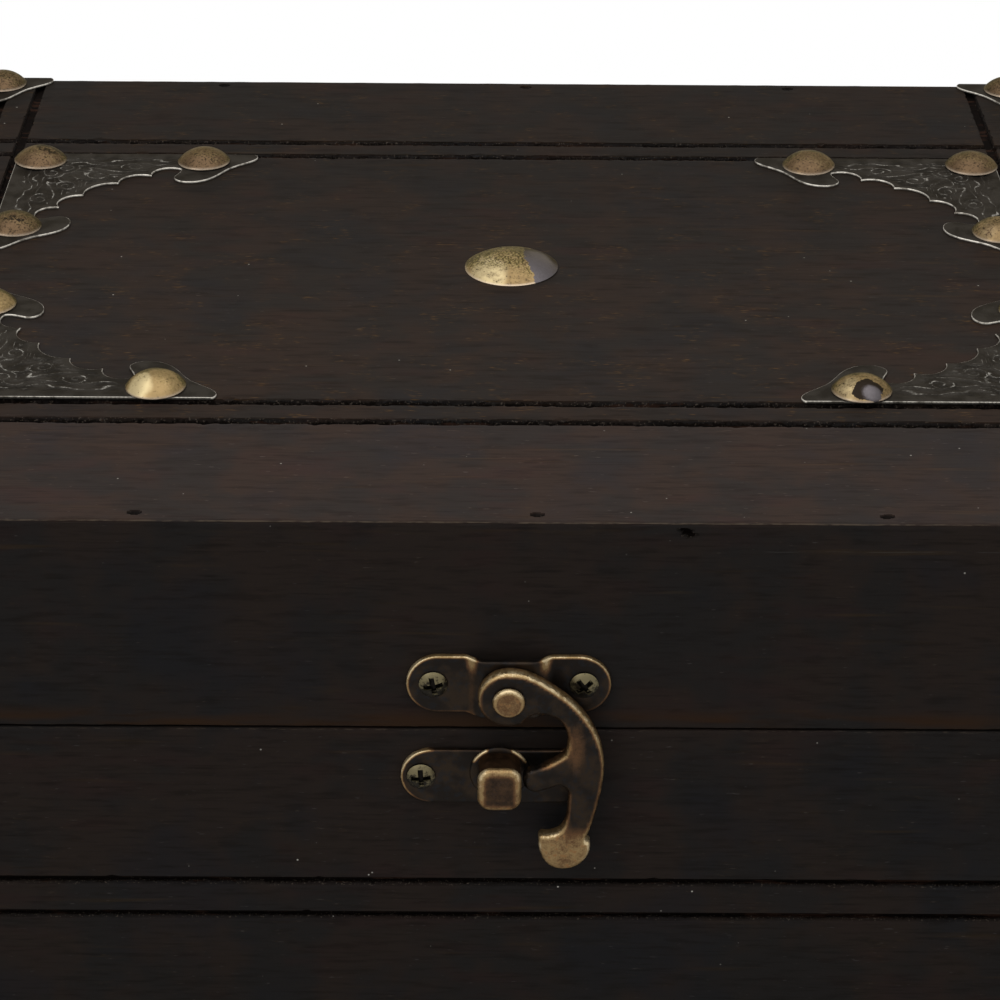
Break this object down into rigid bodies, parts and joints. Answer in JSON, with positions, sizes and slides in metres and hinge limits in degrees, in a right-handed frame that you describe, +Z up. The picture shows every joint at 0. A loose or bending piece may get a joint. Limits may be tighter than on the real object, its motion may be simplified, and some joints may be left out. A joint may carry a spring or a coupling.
{
  "type": "treasure chest box",
  "caption": "Small dark-stained wooden treasure chest with a hinged lid, pressed corner plates, domed nails and a swing-hook latch.",
  "frame": {"origin": "centre of the underside, on the surface that the chest stands on", "axes": "+X to the right along the front, +Y from front to back, +Z up"},
  "size_m": [0.242, 0.1741, 0.0979],
  "materials": {
    "stained_wood": "dark walnut stain under semi-gloss lacquer",
    "inner_wood": "thin dark stain, dull",
    "corner_plate_metal": "pressed and blackened sheet with bright edges",
    "nail_brass": "antique brass, mottled",
    "latch_bronze": "antique bronze with rubbed edges",
    "screw_brass": "dull brass",
    "hinge_bronze": "antique bronze",
    "nail_steel": "dark steel"
  },
  "bodies": {
    "base": {"base_front_board": "stained_wood", "base_back_board": "stained_wood", "base_left_board": "stained_wood", "base_right_board": "stained_wood", "base_bottom_board": "inner_wood", "base_brads": "nail_steel", "keeper_plate": "latch_bronze", "keeper_loop": "latch_bronze", "keeper_plate_screws": "screw_brass", "hinge_base_screws": "screw_brass", "hinge_base_leaf_left": "hinge_bronze", "hinge_pin_left": "hinge_bronze", "hinge_base_leaf_right": "hinge_bronze", "hinge_pin_right": "hinge_bronze"},
    "lid": {"lid_front_rail": "stained_wood", "lid_back_rail": "stained_wood", "lid_left_rail": "stained_wood", "lid_right_rail": "stained_wood", "lid_top_board": "stained_wood", "lid_brads": "nail_steel", "inner_corner_plate_front_left": "corner_plate_metal", "inner_corner_plate_front_right": "corner_plate_metal", "inner_corner_plate_back_left": "corner_plate_metal", "inner_corner_plate_back_right": "corner_plate_metal", "outer_corner_plate_front_left": "corner_plate_metal", "outer_corner_plate_front_right": "corner_plate_metal", "outer_corner_plate_back_left": "corner_plate_metal", "outer_corner_plate_back_right": "corner_plate_metal", "corner_plate_nails": "nail_brass", "centre_nail": "nail_brass", "hook_plate": "latch_bronze", "hook_rivet": "latch_bronze", "hook_plate_screws": "screw_brass", "hinge_lid_screws": "screw_brass", "hinge_lid_leaf_left": "hinge_bronze", "hinge_lid_leaf_right": "hinge_bronze"},
    "hook": {"swing_hook": "latch_bronze"}
  },
  "joints": [
    {"name": "lid_hinge", "type": "hinge", "parent": "base", "child": "lid", "pos_m": [0, 0.0842, 0.063], "axis": [-1, 0, 0], "range_deg": [0, 180]},
    {"name": "hook_swing", "type": "hinge", "parent": "lid", "child": "hook", "pos_m": [0, -0.0854, 0.07], "axis": [0, -1, 0], "range_deg": [-20, 255]}
  ]
}
